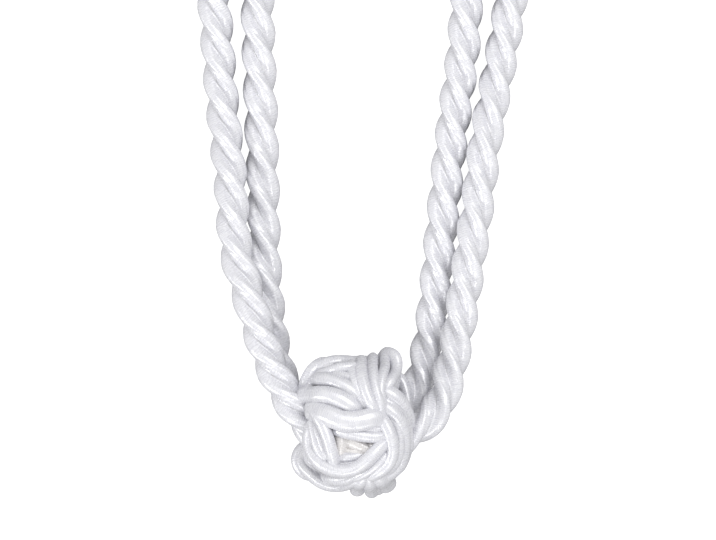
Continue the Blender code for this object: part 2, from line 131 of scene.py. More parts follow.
# %% Floor
FLOOR_SIZE = 12.0                          # metres, so that no edge of it shows
FLOOR_DROP = 0.2                           # millimetres under what rests on it
PAPER_BOUNCE = 0.4                         # share of the light that the paper throws back up
floor_mesh = bmesh.new()
bmesh.ops.create_grid(floor_mesh, x_segments=1, y_segments=1, size=FLOOR_SIZE / 2)
floor_data = bpy.data.meshes.new("floor")
floor_mesh.to_mesh(floor_data)
floor_mesh.free()
floor = bpy.data.objects.new("floor", floor_data)
floor.location.z = -FLOOR_DROP * MM
bpy.context.scene.collection.objects.link(floor)
paper = bpy.data.materials.new("white paper")
paper.use_nodes = True
paper_shader = paper.node_tree.nodes["Principled BSDF"]
paper_shader.inputs["Base Color"].default_value = (PAPER_BOUNCE, PAPER_BOUNCE, PAPER_BOUNCE, 1.0)
paper_shader.inputs["Roughness"].default_value = 0.9
paper_shader.inputs["Specular IOR Level"].default_value = 0.1
paper_shader.inputs["Emission Color"].default_value = (1.0, 1.0, 1.0, 1.0)
seen = paper.node_tree.nodes.new("ShaderNodeLightPath")
paper.node_tree.links.new(seen.outputs["Is Camera Ray"], paper_shader.inputs["Emission Strength"])
floor_data.materials.append(paper)
print("floor width in m:", FLOOR_SIZE)

# %% [markdown]
# ## One smooth line through chosen points
#
# Rope and cord both follow a line that bends gently everywhere. A natural cubic spline does
# what a springy strip of wood does when it is pinned at a few places, so a few chosen points
# are enough. The same helper serves the long rope and every short cord of the knot.

# %% Smooth line
SAMPLES_PER_POINT = 24                     # of the spline, before it is spaced evenly
SAMPLES_PER_STEP = 3.0


def smooth_curve(points, step):
    """Evenly spaced points on a natural cubic spline through the given points."""
    knots = np.array(points, dtype=float)
    count = len(knots)
    spans = np.linalg.norm(np.diff(knots, axis=0), axis=1)
    at = np.concatenate(([0.0], np.cumsum(spans)))
    system = np.eye(count)
    target = np.zeros_like(knots)
    for i in range(1, count - 1):
        before, after = spans[i - 1], spans[i]
        system[i, i - 1:i + 2] = (before, 2.0 * (before + after), after)
        change = (knots[i + 1] - knots[i]) / after - (knots[i] - knots[i - 1]) / before
        target[i] = 6.0 * change
    bend = np.linalg.solve(system, target)

    samples = max(SAMPLES_PER_POINT * count, int(SAMPLES_PER_STEP * at[-1] / step))
    along = np.linspace(0.0, at[-1], samples)
    span = np.clip(np.searchsorted(at, along, side="right") - 1, 0, count - 2)
    width = spans[span]
    start = ((at[span + 1] - along) / width)[:, None]
    end = ((along - at[span]) / width)[:, None]
    fine = start * knots[span] + end * knots[span + 1]
    pull = (start ** 3 - start) * bend[span] + (end ** 3 - end) * bend[span + 1]
    fine += pull * (width ** 2)[:, None] / 6.0

    walked = distance_along(fine)
    stops = np.linspace(0.0, walked[-1], max(2, round(walked[-1] / step) + 1))
    return np.stack([np.interp(stops, walked, fine[:, axis]) for axis in range(3)], axis=1)


def distance_along(line):
    return np.concatenate(([0.0], np.cumsum(np.linalg.norm(np.diff(line, axis=0), axis=1))))


def carried_frames(line):
    """Normal and side vectors that turn along the line without twisting round it."""
    tangents = np.gradient(line, axis=0)
    tangents /= np.linalg.norm(tangents, axis=1)[:, None]
    normals = np.zeros_like(line)
    normal = np.cross(tangents[0], (0.0, 0.0, 1.0))
    for i, tangent in enumerate(tangents):
        normal = normal - tangent * np.dot(normal, tangent)
        normal /= np.linalg.norm(normal)
        normals[i] = normal
    return normals, np.cross(tangents, normals)


# %% [markdown]
# ## Where the rope runs
#
# On the real tieback one rope leaves the knot on the left, turns back in an open loop that
# slips over a hook, passes through the knot, makes the second loop and ends inside the knot.
# The photograph shows the four runs between knot and loops. The points below lie on the
# rope's middle line. The loops at the far ends are half circles, so a formula makes them.

# %% Route of the rope
ROPE_DIAMETER = 12.0
ROPE_RADIUS = ROPE_DIAMETER / 2.0
ROPE_REST = 5.7                            # height of the middle line where the rope lies flat
JOIN_GAP = 0.6

JOIN = (0.3, -9.6, 20.4)
LEFT_OUTER = (
    (-10.5, -6.5, 20.6), (-22.0, 5.1, 20.4), (-30.2, 20.6, 18.6), (-37.7, 43.6, 16.7),
    (-41.2, 55.6, 14.4), (-43.6, 79.6, 11.4), (-46.3, 105.3, 6.6), (-48.4, 131.0, ROPE_REST),
    (-54.5, 186.0, ROPE_REST), (-64.5, 232.0, ROPE_REST),
)
LEFT_INNER = (
    (-25.5, 232.0, ROPE_REST), (-34.0, 170.0, ROPE_REST), (-32.9, 89.9, ROPE_REST),
    (-28.8, 24.7, 6.0), (-25.0, 12.6, 6.6), (-11.0, 1.6, 10.4),
)
THROUGH = ((0.0, 0.8, 11.4),)
RIGHT_INNER = (
    (10.4, 2.6, 11.0), (20.0, 11.2, 8.7), (22.2, 17.4, 7.4), (27.4, 52.1, ROPE_REST),
    (33.8, 110.4, ROPE_REST), (35.7, 124.2, ROPE_REST), (36.5, 180.0, ROPE_REST),
    (30.5, 232.0, ROPE_REST),
)
RIGHT_OUTER = (
    (69.5, 232.0, ROPE_REST), (57.5, 178.0, ROPE_REST), (51.3, 137.0, ROPE_REST),
    (46.5, 111.5, 7.2), (44.2, 99.2, 9.9), (41.0, 74.5, 10.8), (39.2, 62.4, 12.4),
    (30.8, 14.4, 16.4), (26.2, 3.2, 19.2), (18.5, -3.4, 20.6), (10.0, -8.0, 20.5),
)
LOOP_RADIUS = 22.0
LEFT_LOOP = (-45.0, 252.0)
RIGHT_LOOP = (50.0, 252.0)
LOOP_POINTS = 7


def loop_arc(centre):
    """The half circle of a hook loop, from its left side over its far side to its right."""
    points = []
    for i in range(LOOP_POINTS):
        angle = math.pi * (1.0 - i / (LOOP_POINTS - 1))
        x = centre[0] + LOOP_RADIUS * math.cos(angle)
        y = centre[1] + LOOP_RADIUS * math.sin(angle)
        points.append((x, y, ROPE_REST))
    return points


def rope_line(step):
    route = [JOIN, *LEFT_OUTER, *loop_arc(LEFT_LOOP), *LEFT_INNER, *THROUGH,
             *RIGHT_INNER, *loop_arc(RIGHT_LOOP), *RIGHT_OUTER, JOIN]
    line = smooth_curve(route, step)
    for end, neighbour in ((0, 1), (-1, -2)):
        away = line[neighbour] - line[end]
        line[end] += away / np.linalg.norm(away) * JOIN_GAP / 2.0
    return line


ROPE_STEP = 0.65
line = rope_line(ROPE_STEP)

# %% [markdown]
# ## The twist
#
# Three plies are laid together to the left, once round in about 37 mm, and the photograph
# shows where their grooves cross the outline. Each mark below is such a crossing. Between
# two marks the twist turns evenly, so the bright plies fall where the real ones do.

# %% Twist
LAY_LENGTH = 37.2
PLIES = 3
GROOVES = (
    (-49.0, 136.5, -1), (-45.4, 98.4, -1), (-41.8, 61.4, -1), (-35.2, 34.6, -1),
    (-31.6, 46.0, 1), (-32.4, 72.7, 1), (-33.3, 100.5, 1), (-33.6, 127.3, 1),
    (24.7, 30.5, -1), (27.8, 55.2, -1), (31.9, 93.3, -1), (36.2, 129.3, -1),
    (51.8, 139.6, 1), (45.3, 104.6, 1), (39.8, 66.5, 1), (34.1, 29.5, 1),
)


def ply_turns(line):
    """The rope's twist at each point, left-handed, with its grooves where GROOVES puts them."""
    normals, sides = carried_frames(line)
    length_at = distance_along(line)
    rate = -2.0 * math.pi / LAY_LENGTH
    pitch = 2.0 * math.pi / PLIES
    marks = []
    for x, y, way in GROOVES:
        i = int(np.argmin((line[:, 0] - x) ** 2 + (line[:, 1] - y) ** 2))
        facing = math.atan2(way * sides[i][0], way * normals[i][0])
        marks.append((length_at[i], facing - math.pi / PLIES))
    marks.sort()
    lengths, turns = [marks[0][0]], [marks[0][1]]
    for length, turn in marks[1:]:
        expected = turns[-1] + rate * (length - lengths[-1])
        turns.append(turn + pitch * round((expected - turn) / pitch))
        lengths.append(length)
    turns.insert(0, turns[0] - rate * lengths[0])
    lengths.insert(0, 0.0)
    turns.append(turns[-1] + rate * (length_at[-1] - lengths[-1]))
    lengths.append(length_at[-1])
    return np.interp(length_at, lengths, turns)


# %% [markdown]
# ## A skin that knows its thread
#
# Shiny thread is wound round every strand, and the material must know which way it runs. So
# each skin carries a UV map named `thread`: U is the distance along the strand and V the
# distance across it, both in millimetres. A face keeps its own U and V, so two plies that share
# an edge in the groove each keep theirs.

# %% Skin maker
THREAD_MAP = "thread"


def skin(name, rings, starts, ends):
    """A tube through the rings, closed at both ends. starts and ends hold U and V at the first
    and second edge of each strip of faces, for every ring."""
    count, sides = rings.shape[:2]
    here = np.arange(sides)
    nxt = (here + 1) % sides
    base = np.arange(count - 1)[:, None] * sides
    quads = np.stack([base + here, base + nxt, base + sides + nxt, base + sides + here], axis=2)
    verts = np.concatenate([rings.reshape(-1, 3), rings[:1].mean(1), rings[-1:].mean(1)]) * MM
    first, last = count * sides, count * sides + 1
    caps = [(first, int(k), int(j)) for j, k in zip(here, nxt)]
    far = (count - 1) * sides
    caps += [(last, int(far + j), int(far + k)) for j, k in zip(here, nxt)]
    data = bpy.data.meshes.new(name)
    data.from_pydata(verts.tolist(), [], quads.reshape(-1, 4).tolist() + caps)
    near_uv = np.stack([starts[:-1], ends[:-1], ends[1:], starts[1:]], axis=2)
    cap_uv = np.zeros((len(caps) * 3, 2))
    uv = np.concatenate([near_uv.reshape(-1, 2), cap_uv]).astype(np.float32)
    layer = data.uv_layers.new(name=THREAD_MAP)
    layer.uv.foreach_set("vector", uv.ravel())
    data.shade_smooth()
    thing = bpy.data.objects.new(name, data)
    bpy.context.scene.collection.objects.link(thing)
    print(name, "triangles:", 2 * (count - 1) * sides + len(caps))
    return thing


# %% [markdown]
# ## The rope
#
# Seen end on, the rope is three round plies pressed together, so its section is three arcs
# that meet in deep grooves. That section is swept along the line and turned with the twist.
# Three creases run along each ply, where the yarns under its thread lie side by side.

# %% Rope
PLY_EDGE = 60                              # degrees from a ply's crest to its groove
PLY_STOPS = (-60, -51, -42, -34, -28, -22, -16, -9, -2, 4, 10, 16, 22, 28, 34, 46)
GROOVE_SHARE = 0.42                        # depth to which the soft plies leave a groove
CREASES = ((-22.0, 0.35), (4.0, 0.12), (28.0, 0.2))    # degrees from the crest, depth in mm
CREASE_WIDTH = 3.5                         # degrees
PLY_LINE = 0.6                             # share of the radius at which a ply winds
PLY_SPREAD = 0.7                           # share of the radius that unrolls a ply's skin


def ply_section():
    """Radius and angle from the ply's crest of each point of one ply, groove to groove."""
    ply_radius = ROPE_RADIUS / (1.0 + 2.0 / math.sqrt(3.0))
    ply_centre = ROPE_RADIUS - ply_radius
    angles = np.radians((*PLY_STOPS, PLY_EDGE))
    across = ply_centre * np.sin(angles)
    inside = np.maximum(ply_radius ** 2 - across ** 2, 0.0)
    radii = ply_centre * np.cos(angles) + np.sqrt(inside)
    radii = np.maximum(radii, GROOVE_SHARE * ROPE_RADIUS)
    radii[[0, -1]] = GROOVE_SHARE * ROPE_RADIUS
    for place, depth in CREASES:
        radii -= depth * np.exp(-((np.degrees(angles) - place) / CREASE_WIDTH) ** 2)
    return radii, angles


def make_rope():
    normals, sides = carried_frames(line)
    turns = ply_turns(line)
    lengths = distance_along(line)
    radii, angles = ply_section()
    lean = math.atan2(2.0 * math.pi * ROPE_RADIUS * PLY_LINE, LAY_LENGTH)
    offset = angles * ROPE_RADIUS * PLY_SPREAD
    along = lengths[:, None] / math.cos(lean) - offset * math.sin(lean)
    across = np.broadcast_to(offset * math.cos(lean), along.shape)
    strips, starts, ends = [], [], []
    for ply in range(PLIES):
        turn = turns[:, None] + 2.0 * math.pi * ply / PLIES + angles[:-1]
        bow = (radii[:-1] * np.cos(turn))[:, :, None] * normals[:, None]
        rise = (radii[:-1] * np.sin(turn))[:, :, None] * sides[:, None]
        strips.append(line[:, None] + bow + rise)
        both = np.stack([along, across], axis=2)
        starts.append(both[:, :-1])
        ends.append(both[:, 1:])
    rings = np.concatenate(strips, axis=1)
    rings[:, :, 2] = np.maximum(rings[:, :, 2], 0.0)
    return skin("satin_rope", rings, np.concatenate(starts, 1), np.concatenate(ends, 1))


rope = make_rope()

# %% [markdown]
# ## The ball knot
#
# The knot is one thinner cord, led over and under itself until it closes into a ball. Only the
# stretches on the outside show, so each of these is a short tube of its own. Its points are
# given as seen from above, with a lift over the ball's smooth dome: a high lift lies on top of
# its neighbours and a low one dives under them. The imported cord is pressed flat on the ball, so
# each stretch has its own width. The underside and the two belts that close the ball's sides
# don't show in the photograph and are plain.

# %% Cords of the knot
BALL_HEIGHT = 20.5                         # of the ball's middle above the surface
BALL_REACH = (17.6, 21.0, 17.0)            # from the middle to the cords' middle lines
BALL_FULLNESS = 2.6                        # 2 would be an ellipsoid, and more is squarer
CORD_THICKNESS = 4.6
CORD_SIDES = 20
WINDING = 0.62                             # pitch of the thread round ply and cord
WINDING_LEAN = 0.12                        # how far a turn climbs for each mm round the cord
CORD_STEP = 0.4
HEART_DEPTH = 3.4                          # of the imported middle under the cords' middle lines
HEART_GIRTH = 90.0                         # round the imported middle
TUCK_ALONG = 3.0                           # a stretch's end runs on this far
TUCK_IN = 6.0                              # and dives this far into the ball
FACING_GAIN = 0.25                         # how fast a cord turns its flat side to the ball

FRONT_CORDS = {
    "upper_arc": (5.2, ((-17.2, 14.7, -2), (-15.5, 17.3, -1.4), (-12.3, 19.4, -0.8),
        (-8.4, 20.7, -0.4), (-4.5, 20.8, -0.4), (-1.3, 20.3, -4.4), (1.0, 19.2, -7))),
    "left_wrap": (3.6, ((-18.3, 11.1, -0.6), (-17.5, 14.5, 0.4), (-15.9, 17.3, 0.6),
        (-13.8, 19.4, -0.6), (-11.4, 20.3, -2.5))),
    "upper_under": (4.0, ((-12.7, 15.8, -1.6), (-9.7, 17.3, 0), (-6.7, 18.3, 0.6),
        (-3.7, 18.8, 0.4), (-0.7, 18.6, -1.2))),
    "second_row": (5.0, ((-18.3, 11.5, -1.4), (-15.7, 13.8, 0), (-12.3, 15.0, 0.4),
        (-8.4, 14.4, 0.4), (-4.5, 12.7, 0), (-1.1, 10.2, -0.8), (1.2, 7.2, -2.4))),
    "mid_under": (3.6, ((-8.0, 15.8, -1.8), (-5.0, 15.7, -1.2), (-2.0, 14.7, -1.4),
        (0.2, 12.3, -2.4))),
    "third_row": (6.0, ((-18.9, 8.9, 0.4), (-16.1, 9.6, 1.4), (-12.7, 9.9, 1.6), (-9.3, 9.5, 1.5),
        (-5.8, 8.2, 1.1), (-2.8, 6.3, 0.2), (0.0, 4.2, -1.8))),
    "row_sliver": (3.4, ((-14.0, 7.0, -1.6), (-10.1, 6.3, -0.9), (-6.3, 5.1, -0.9),
        (-2.4, 4.1, -1.4), (0.6, 3.8, -2.6))),
    "broad_row": (7.2, ((-15.9, 4.2, -1.4), (-13.1, 3.8, 0.8), (-9.7, 2.4, 1.9), (-6.3, 1.1, 2.0),
        (-2.8, 0.6, 2.0), (1.0, 1.0, 1.9), (4.9, 1.9, 1.2), (8.1, 2.1, -1.6))),
    "row_under": (3.6, ((-1.5, -1.0, -1.8), (2.7, -1.7, -1.2), (6.6, -1.8, -1.4),
        (9.6, -1.4, -2.6))),
    "lower_row": (4.4, ((-6.7, -2.4, -1.6), (-2.4, -3.4, -0.5), (1.9, -4.2, -0.2),
        (5.7, -4.5, -0.4), (9.6, -3.9, -2.0))),
    "left_inner": (4.4, ((-15.9, 5.5, -1.5), (-14.4, 3.3, 0.9), (-12.5, 0.3, 1.6),
        (-10.8, -3.5, 1.4), (-9.6, -7.4, 1.0), (-8.7, -10.8, 0.4), (-7.5, -14.2, -2.2))),
    "left_under": (4.0, ((-15.0, 0.3, -1.2), (-14.5, -3.9, -0.4), (-13.5, -7.8, -0.4),
        (-11.6, -11.0, -0.8), (-8.8, -13.8, -2.4))),
    "left_fold": (3.0, ((-13.5, -1.4, -1.0), (-12.4, -5.2, -0.7), (-11.1, -8.7, -0.8),
        (-9.6, -11.7, -1.8))),
    "ring": (4.9, ((-15.0, -0.5, -1.8), (-16.5, -3.5, 1.2), (-16.6, -7.4, 2.4),
        (-15.2, -11.2, 2.6), (-12.0, -14.4, 2.3), (-8.0, -16.0, 2.0), (-3.7, -16.2, 1.7),
        (0.4, -14.7, 1.3), (4.0, -11.7, 1.0), (7.2, -8.4, 0.3), (10.0, -5.2, -2.2))),
    "ring_outer": (4.2, ((-1.3, -18.1, -1.8), (2.3, -16.7, -0.6), (5.7, -14.4, -0.6),
        (8.5, -11.7, -0.8), (10.9, -8.2, -2.0))),
    "right_outer": (5.4, ((8.5, 11.5, -1.4), (11.5, 10.0, 0.4), (14.5, 7.4, 0.9), (16.5, 3.8, 0.7),
        (17.5, -0.5, 0.0), (17.5, -4.8, -0.8), (16.2, -9.1, -2.4))),
    "right_under": (4.0, ((9.6, 7.2, -1.5), (13.0, 4.2, -1.2), (15.8, 0.3, -1.2),
        (16.7, -4.4, -1.4), (16.2, -9.1, -2.0))),
    "right_middle": (5.0, ((8.5, 6.3, -1.8), (11.7, 3.9, 0.2), (14.5, 0.3, 0.7), (15.7, -4.4, 0.6),
        (15.5, -9.9, 0.2), (13.8, -14.7, 0.0), (10.9, -17.3, -0.4), (7.2, -18.7, -2.2))),
    "right_inner": (4.6, ((8.1, 1.6, -1.2), (10.1, -1.8, 1.1), (11.6, -6.3, 1.7),
        (11.7, -10.4, 1.6), (10.2, -14.0, 1.2), (7.2, -16.5, 0.6), (3.6, -17.9, -1.6))),
    "top_0": (4.2, ((-2.2, 19.4, -1.8), (-1.8, 17.1, -0.8), (-1.0, 13.6, -0.4), (0.4, 10.0, -0.4),
        (2.5, 6.8, -1.0), (4.9, 3.8, -2.6))),
    "top_1": (4.3, ((1.1, 20.7, -1.2), (1.2, 18.8, 0.9), (1.5, 15.8, 1.4), (2.4, 11.7, 1.7),
        (4.0, 7.6, 1.4), (6.2, 3.3, -1.8))),
    "top_2": (3.9, ((4.7, 21.1, -1.0), (4.9, 19.2, 0.9), (5.2, 16.0, 1.4), (5.8, 12.1, 1.6),
        (6.9, 8.1, 1.3), (7.9, 3.3, -1.8))),
    "top_3": (3.7, ((9.4, 23.7, -0.5), (9.2, 21.4, 3.6), (9.0, 18.8, 2.2), (8.1, 15.6, 1.8),
        (7.5, 11.9, 1.2), (7.8, 8.1, 0.2), (8.4, 4.2, -2.0))),
    "top_4": (4.0, ((9.0, 23.1, -2.0), (10.8, 23.5, 2.6), (12.5, 22.4, 4.6), (13.1, 19.7, 5.4),
        (12.3, 16.4, 2.2), (10.4, 13.5, 1.0), (8.6, 10.6, -1.6))),
    "left_bight": (4.2, ((-17.4, -7.8, -3.4), (-19.6, -9.7, -2.6), (-20.7, -12.5, -2.2),
        (-19.9, -15.5, -1.8), (-17.2, -17.7, -2.4))),
    "lower_ring": (4.8, ((-19.1, -13.8, -1.2), (-16.8, -17.0, 0.6), (-13.8, -19.6, 1.6),
        (-10.3, -21.2, 1.9), (-6.7, -21.5, 1.6), (-3.3, -20.5, 0.6), (0.0, -18.3, -1.8))),
    "bottom_0": (5.2, ((2.7, -17.0, -2.0), (1.2, -19.4, 0.4), (0.1, -21.5, 0.4),
        (-0.3, -23.1, -5.0))),
    "bottom_1": (5.0, ((3.4, -17.0, -2.0), (3.9, -19.8, 0.8), (4.5, -22.3, 0.8),
        (4.7, -23.6, -5.0))),
    "bottom_2": (6.6, ((4.5, -17.0, -2.4), (7.1, -18.9, 0.2), (9.1, -20.6, 0.6),
        (10.2, -21.6, -5.0))),
    "bottom_3": (4.0, ((4.0, -17.7, -2.6), (5.3, -20.2, -1.4), (6.4, -22.0, -1.4),
        (6.9, -22.7, -5.0))),
    "deep_upper": (4.8, ((-5.8, -4.4, -4.4), (-2.0, -6.5, -3.4), (1.9, -8.2, -3.4),
        (5.7, -10.2, -4.6))),
    "deep_lower": (3.6, ((-8.2, -11.4, -4.0), (-5.4, -11.4, -2.8), (-2.4, -11.2, -2.8),
        (1.0, -10.4, -4.0))),
    "ring_under": (5.0, ((-17.6, -11.9, -2.0), (-15.6, -15.3, -0.1), (-12.3, -18.0, 0.4),
        (-8.2, -19.2, 0.3), (-4.1, -19.0, -0.4), (-0.7, -17.2, -2.4))),
    "right_fill": (4.2, ((9.6, 3.8, -1.8), (12.5, -0.1, -0.9), (13.8, -4.8, -0.7),
        (13.7, -9.5, -0.7), (12.0, -13.8, -1.2), (9.6, -15.9, -2.4))),
    "deep_post": (4.4, ((-6.2, -2.4, -4.0), (-5.8, -5.7, -3.2), (-5.9, -9.1, -3.3),
        (-6.3, -12.5, -4.4))),
    "deep_middle": (4.4, ((-4.5, -9.3, -4.8), (-0.7, -9.6, -4.0), (3.2, -8.2, -4.0),
        (7.0, -6.5, -4.6))),
    "deep_base": (4.4, ((-9.3, -13.8, -3.6), (-5.4, -14.1, -2.8), (-1.5, -13.6, -2.8),
        (2.7, -11.7, -4.0))),
}
BACK_CORDS = {
    "back_middle": (6.0, ((-14.5, 4.5, 0.5), (-7.0, 1.5, 1.5), (0.0, 0.0, 1.5), (7.0, -1.5, 1.5),
        (14.5, -4.5, 0.5))),
    "back_upper": (6.0, ((-14.5, 11.0, 0), (-7.0, 8.0, 1), (0.0, 6.0, 1.2), (7.0, 4.5, 1),
        (14.5, 2.0, 0))),
    "back_lower": (6.0, ((-14.5, -2.0, 0), (-7.0, -4.5, 1), (0.0, -6.0, 1.2), (7.0, -7.5, 1),
        (14.0, -11.0, 0))),
    "back_top": (6.0, ((-11.5, 17.0, 0), (-5.0, 14.5, 1), (1.0, 12.2, 1), (7.0, 11.0, 0.8),
        (14.0, 8.5, 0))),
    "back_bottom": (6.0, ((-14.0, -8.5, 0), (-7.0, -11.0, 0.8), (-0.5, -12.4, 1),
        (6.0, -14.0, 0.8), (11.0, -17.0, 0))),
    "back_left": (5.8, ((-16.4, 12.0, 0), (-17.2, 5.0, 0), (-17.4, -2.0, 0), (-16.6, -10.0, 0),
        (-12.0, -17.5, 0))),
    "back_right": (5.8, ((13.4, 15.0, 0), (16.6, 7.5, 0), (17.2, 0.0, 0), (16.6, -8.0, 0),
        (12.5, -16.0, 0))),
    "back_crown": (5.8, ((-10.0, 19.0, 0), (-3.0, 20.4, 0), (4.0, 20.4, 0), (10.5, 18.0, 0))),
    "back_foot": (5.8, ((-10.0, -18.6, 0), (-3.0, -19.6, 0), (4.0, -19.6, 0), (10.0, -18.0, 0))),
    "belt_far": (5.4, ((-12.5, 16.6, -4.2), (-7.5, 19.4, -4.4), (0.0, 20.4, -5.2),
        (7.5, 19.6, -4.4), (12.0, 17.2, -4.2))),
    "belt_near": (5.4, ((-12.5, -16.4, -4.2), (-7.5, -19.0, -4.4), (0.0, -19.8, -5.0),
        (7.5, -19.0, -4.4), (12.0, -16.8, -4.2))),
}


def dome_height(x, y):
    """Height of the ball's dome over or under its middle at this place."""
    share = abs(x / BALL_REACH[0]) ** BALL_FULLNESS + abs(y / BALL_REACH[1]) ** BALL_FULLNESS
    return BALL_REACH[2] * max(0.0, 1.0 - share) ** (1.0 / BALL_FULLNESS)


def tucked_end(end, before):
    """The end runs on a little and dives into the ball."""
    onward = (end - before).normalized()
    inward = (Vector((0.0, 0.0, BALL_HEIGHT)) - end).normalized()
    return end + onward * TUCK_ALONG + inward * TUCK_IN


def cord_line(points, face):
    """The middle line of a cord on the dome, face +1 for the front and -1 for the underside."""
    route = []
    for x, y, lift in points:
        height = BALL_HEIGHT + face * (dome_height(x, y) + lift)
        route.append(Vector((x, y, height)))
    first = tucked_end(route[0], route[1])
    last = tucked_end(route[-1], route[-2])
    return smooth_curve([first, *route, last], CORD_STEP)


def ball_frames(line):
    """Outward and sideways vectors along a cord, so that it can be pressed flat on the ball."""
    tangents = np.gradient(line, axis=0)
    tangents /= np.linalg.norm(tangents, axis=1)[:, None]
    away = (line - (0.0, 0.0, BALL_HEIGHT)) / np.array(BALL_REACH) ** 2
    away /= np.linalg.norm(away, axis=1)[:, None]
    middle = len(line) // 2
    outward = np.zeros_like(line)
    for stops in (range(middle, len(line)), range(middle, -1, -1)):
        held = away[middle]
        for i in stops:
            held = FACING_GAIN * away[i] + held
            held = held - tangents[i] * np.dot(held, tangents[i])
            held /= np.linalg.norm(held)
            outward[i] = held
    return outward, np.cross(tangents, outward)


def make_cord(name, width, points, face):
    path = cord_line(points, face)
    outward, sideways = ball_frames(path)
    lengths = distance_along(path)
    angles = np.linspace(0.0, 2.0 * math.pi, CORD_SIDES + 1)
    girth = angles * (width + CORD_THICKNESS) / 4.0
    along = lengths[:, None] + WINDING_LEAN * girth
    flat = (width / 2.0 * np.cos(angles[:-1]))[None, :, None] * sideways[:, None]
    deep = (CORD_THICKNESS / 2.0 * np.sin(angles[:-1]))[None, :, None] * outward[:, None]
    rings = path[:, None] + flat + deep
    rings[:, :, 2] = np.maximum(rings[:, :, 2], 0.0)
    both = np.stack([along, np.broadcast_to(girth, along.shape)], axis=2)
    return skin(name, rings, both[:, :-1], both[:, 1:])


def make_heart():
    """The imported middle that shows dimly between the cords."""
    mesh = bmesh.new()
    thread_map = mesh.loops.layers.uv.new(THREAD_MAP)
    bmesh.ops.create_uvsphere(mesh, u_segments=48, v_segments=32, radius=1.0, calc_uvs=True)
    for face in mesh.faces:
        for loop in face.loops:
            loop[thread_map].uv *= HEART_GIRTH
    for vert in mesh.verts:
        x, y, z = (vert.co[axis] * (BALL_REACH[axis] - HEART_DEPTH) for axis in range(3))
        vert.co = Vector((x, y, z + BALL_HEIGHT)) * MM
    data = bpy.data.meshes.new("heart")
    mesh.to_mesh(data)
    mesh.free()
    data.shade_smooth()
    heart = bpy.data.objects.new("knot_heart", data)
    bpy.context.scene.collection.objects.link(heart)
    return heart


CORE_CORDS = ("knot_deep_post", "knot_deep_middle", "knot_deep_upper")
cords = []
for face, table in ((-1, BACK_CORDS), (1, FRONT_CORDS)):
    for name, (width, points) in table.items():
        cords.append(make_cord("knot_" + name, width, points, face))
heart = make_heart()
print("cords in the knot:", len(cords))

# %% [markdown]
# ## Satin
#
# Rayon thread is white, smooth and shiny. Three things make it look so: every turn of thread
# is a small ridge, the dip between two turns gets painted shade, a darker colour that stands in
# for the shade falling there, and no turn lies quite like the next, which breaks the gloss into
# dashes. Yarns run lengthwise under the thread and lift it a little. Rope and cord share this,
# so it is built once as a node group, and each material feeds it coordinates that count the
# turns of its own thread.

# %% Wound thread group
STREAK_HEIGHT = 1.1                        # of the filaments' unevenness against a full ridge
SMOOTHEST = 0.15                           # roughness of the glossiest filament
ROUGHNESS_SPREAD = 0.25


def add_node(tree, kind, place, **settings):
    node = tree.nodes.new(kind)
    node.location = place
    for key, value in settings.items():
        setattr(node, key, value)
    return node


def math_node(tree, operation, place, first, second=None):
    """A math node. first and second are sockets to link or plain numbers."""
    node = add_node(tree, "ShaderNodeMath", place, operation=operation)
    for socket, value in zip(node.inputs, (first, second)):
        if isinstance(value, bpy.types.NodeSocket):
            tree.links.new(value, socket)
        elif value is not None:
            socket.default_value = value
    return node.outputs[0]


